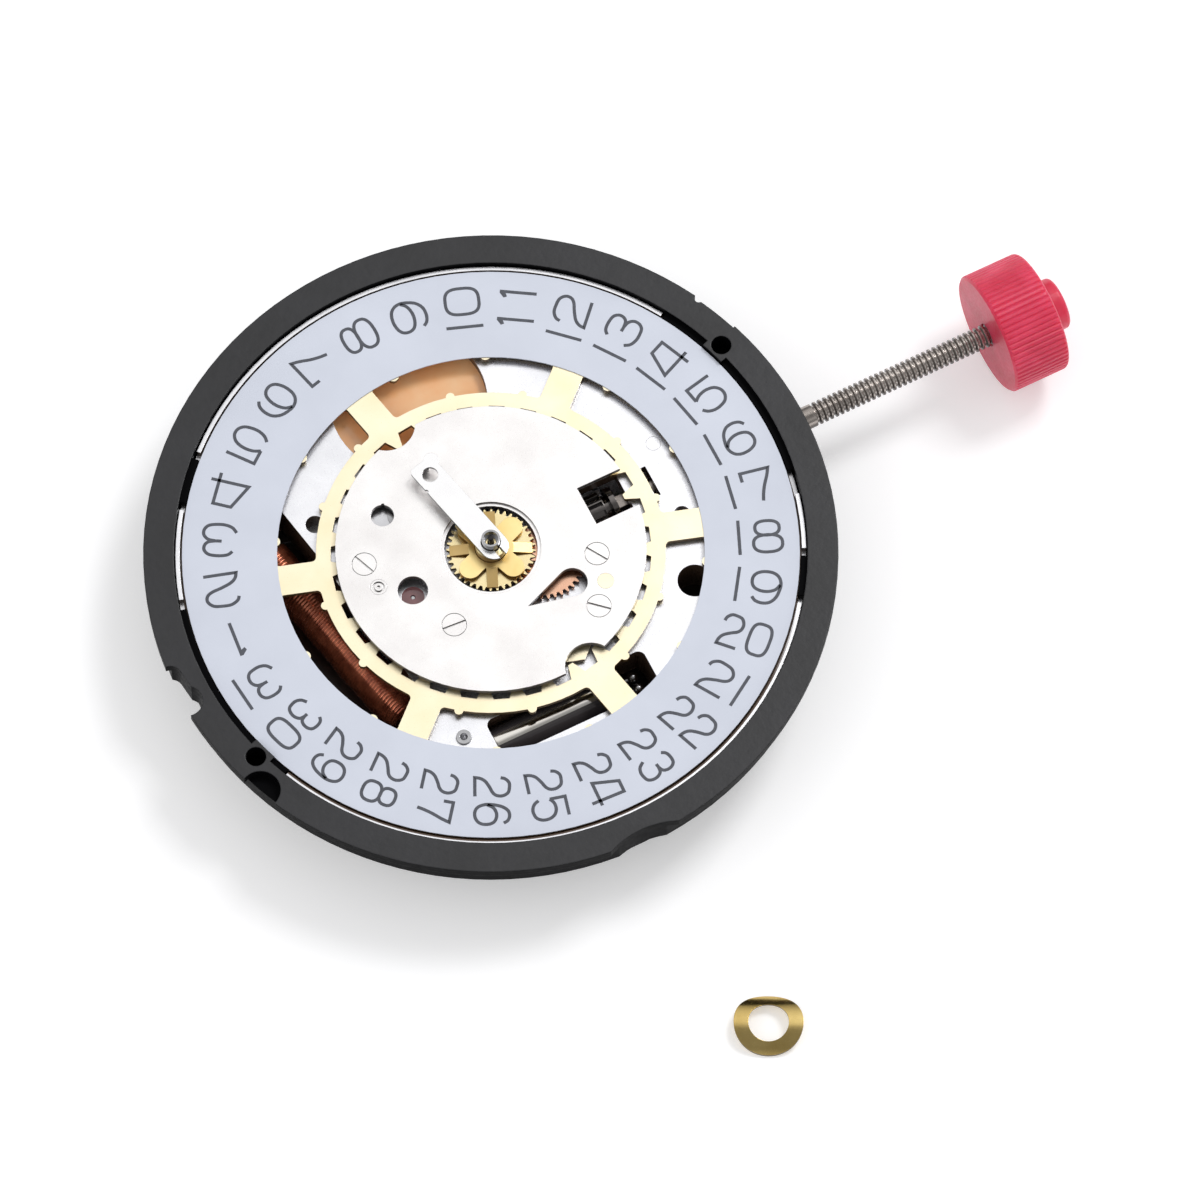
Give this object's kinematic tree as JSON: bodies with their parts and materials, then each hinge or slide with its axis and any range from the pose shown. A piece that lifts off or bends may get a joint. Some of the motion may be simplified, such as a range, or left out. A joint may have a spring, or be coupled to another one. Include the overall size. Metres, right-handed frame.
{
  "type": "quartz watch movement",
  "caption": "Round quartz watch movement seen from the dial side, with an uncased date ring, gear trains, coil, setting stem, handling crown and a loose dial washer.",
  "frame": {"origin": "on the movement's axis at the flat back face", "axes": "+Z towards the dial side along the hands' axis, +X along the winding stem towards the crown at 3 o'clock, +Y towards 12 o'clock"},
  "size_m": [0.0371, 0.0345, 0.0052],
  "materials": {
    "ring_plastic": "moulded, satin",
    "plate_nickel": "nickel plated, bright",
    "cover_steel": "bright, fine grain",
    "date_brass": "pale, satin",
    "date_paint": "painted, matt, with printed dark numbers",
    "wheel_brass": "pale, satin",
    "minute_copper": "reddish, satin",
    "spring_brass": "gilt, bright",
    "dark_steel": "dark, bright",
    "steel": "polished",
    "jewel": "synthetic ruby",
    "copper": "enamelled copper wire, glossy",
    "magnet": "sintered, grey",
    "board": "dark brown glass fibre board",
    "chip": "moulded resin",
    "cell_steel": "drawn steel",
    "film": "orange, translucent film",
    "washer_brass": "olive tinted, satin",
    "crown_red": "red, translucent, fluted"
  },
  "bodies": {
    "plate": {"holder_ring": "ring_plastic", "main_plate": "plate_nickel", "date_cover_plate": "cover_steel", "cover_screws": "cover_steel", "cover_rivet": "cover_steel", "date_jumper_pin": "steel", "rotor_jewel": "jewel", "coil_winding": "copper", "coil_core": "dark_steel", "coil_screws": "steel", "stator": "steel", "train_bridge": "plate_nickel", "bridge_jewels": "jewel", "bridge_screws": "steel", "circuit_board": "board", "timing_chip": "chip", "crystal_can": "steel", "crystal_leads": "steel", "battery_cell": "cell_steel", "contact_leaf": "spring_brass", "cell_film": "film", "cell_strap": "steel", "strap_screws": "steel", "back_screen": "cover_steel", "screen_screws": "steel", "plate_pin": "steel", "dial_studs": "steel", "setting_lever_pin": "steel", "yoke_guide_pins": "steel", "detent_spring": "steel"},
    "date_ring": {"date_ring": "date_brass", "date_print_band": "date_paint"},
    "date_jumper": {"date_jumper": "spring_brass"},
    "date_corrector": {"date_corrector": "wheel_brass"},
    "seconds_wheel": {"seconds_wheel": "wheel_brass"},
    "rotor": {"rotor_pinion": "steel", "rotor_magnet": "magnet"},
    "step_wheel": {"step_wheel": "wheel_brass"},
    "third_wheel": {"third_wheel": "wheel_brass"},
    "centre_wheel": {"centre_wheel": "wheel_brass"},
    "hour_wheel": {"hour_wheel": "wheel_brass", "star_spring": "spring_brass"},
    "minute_wheel": {"minute_wheel": "minute_copper"},
    "cannon_pinion": {"cannon_pinion": "steel"},
    "setting_wheel": {"setting_wheel": "wheel_brass"},
    "date_step_wheel": {"date_step_wheel": "wheel_brass"},
    "date_driving_wheel": {"date_driving_wheel": "wheel_brass", "date_finger": "steel"},
    "yoke": {"yoke": "steel"},
    "sliding_pinion": {"sliding_pinion": "dark_steel"},
    "stem": {"stem": "steel", "crown": "crown_red"},
    "setting_lever": {"setting_lever": "steel"},
    "hour_wheel_clip": {"hour_wheel_clip": "cover_steel"},
    "dial_washer": {"dial_washer": "washer_brass"}
  },
  "joints": [
    {"name": "date_ring_turn", "type": "hinge", "parent": "plate", "child": "date_ring", "pos_m": [0, 0, 0.00375], "axis": [0, 0, 1], "continuous": true},
    {"name": "date_jumper_pivot", "type": "hinge", "parent": "plate", "child": "date_jumper", "pos_m": [0.00322, -0.00313, 0.00373], "axis": [0, 0, 1], "range_deg": [-5, 0]},
    {"name": "date_corrector_turn", "type": "hinge", "parent": "plate", "child": "date_corrector", "pos_m": [0.00429, 0.00215, 0.00368], "axis": [0, 0, 1], "continuous": true},
    {"name": "seconds_turn", "type": "hinge", "parent": "plate", "child": "seconds_wheel", "pos_m": [0, 0, 0.0012], "axis": [0, 0, 1], "continuous": true},
    {"name": "step_turn", "type": "hinge", "parent": "plate", "child": "step_wheel", "pos_m": [-0.00199, 0.00134, 0.0016], "axis": [0, 0, 1], "continuous": true},
    {"name": "rotor_turn", "type": "hinge", "parent": "plate", "child": "rotor", "pos_m": [-0.00338, -0.00024, 0.0016], "axis": [0, 0, 1], "continuous": true},
    {"name": "third_turn", "type": "hinge", "parent": "plate", "child": "third_wheel", "pos_m": [0.00062, -0.0023, 0.0016], "axis": [0, 0, 1], "continuous": true},
    {"name": "centre_turn", "type": "hinge", "parent": "plate", "child": "centre_wheel", "pos_m": [0, 0, 0.0018], "axis": [0, 0, 1], "continuous": true},
    {"name": "hour_turn", "type": "hinge", "parent": "plate", "child": "hour_wheel", "pos_m": [0, 0, 0.0039], "axis": [0, 0, 1], "continuous": true},
    {"name": "minute_turn", "type": "hinge", "parent": "plate", "child": "minute_wheel", "pos_m": [0.00162, -0.00118, 0.0037], "axis": [0, 0, 1], "continuous": true},
    {"name": "cannon_turn", "type": "hinge", "parent": "plate", "child": "cannon_pinion", "pos_m": [0, 0, 0.0037], "axis": [0, 0, 1], "continuous": true},
    {"name": "setting_wheel_turn", "type": "hinge", "parent": "plate", "child": "setting_wheel", "pos_m": [0.0029, 0.00087, 0.0037], "axis": [0, 0, 1], "continuous": true},
    {"name": "date_step_turn", "type": "hinge", "parent": "plate", "child": "date_step_wheel", "pos_m": [-0.00021, 0.00279, 0.0038], "axis": [0, 0, 1], "continuous": true},
    {"name": "date_driving_turn", "type": "hinge", "parent": "plate", "child": "date_driving_wheel", "pos_m": [-0.00241, 0.00287, 0.0037], "axis": [0, 0, 1], "continuous": true},
    {"name": "yoke_slide", "type": "slide", "parent": "plate", "child": "yoke", "axis": [1, 0, 0], "range_m": [-0.0004, 0]},
    {"name": "pinion_turn", "type": "hinge", "parent": "yoke", "child": "sliding_pinion", "pos_m": [0.0046, 0, 0.00278], "axis": [1, 0, 0], "continuous": true},
    {"name": "stem_pull", "type": "slide", "parent": "sliding_pinion", "child": "stem", "axis": [1, 0, 0], "range_m": [0, 0.0014]},
    {"name": "setting_lever_turn", "type": "hinge", "parent": "plate", "child": "setting_lever", "pos_m": [0.0075, 0.00135, 0.0027], "axis": [0, 0, 1], "range_deg": [0, 56.5]},
    {"name": "clip_lift", "type": "slide", "parent": "plate", "child": "hour_wheel_clip", "axis": [0, 0, 1], "range_m": [0, 0.003]},
    {"name": "washer_lift", "type": "slide", "parent": "plate", "child": "dial_washer", "axis": [0, 0, 1], "range_m": [0, 0.01]}
  ],
  "couplings": [
    {"joint": "step_turn", "follows": "seconds_turn", "ratio": -5},
    {"joint": "rotor_turn", "follows": "seconds_turn", "ratio": 30},
    {"joint": "third_turn", "follows": "seconds_turn", "ratio": -0.13333},
    {"joint": "centre_turn", "follows": "seconds_turn", "ratio": 0.016667},
    {"joint": "minute_turn", "follows": "hour_turn", "ratio": -4},
    {"joint": "cannon_turn", "follows": "hour_turn", "ratio": 12},
    {"joint": "setting_wheel_turn", "follows": "hour_turn", "ratio": 6.5455},
    {"joint": "date_step_turn", "follows": "hour_turn", "ratio": -1.3333},
    {"joint": "date_driving_turn", "follows": "hour_turn", "ratio": 0.5},
    {"joint": "yoke_slide", "follows": "stem_pull", "ratio": -0.28571},
    {"joint": "setting_lever_turn", "follows": "stem_pull", "rad_per_m": 703.74}
  ]
}
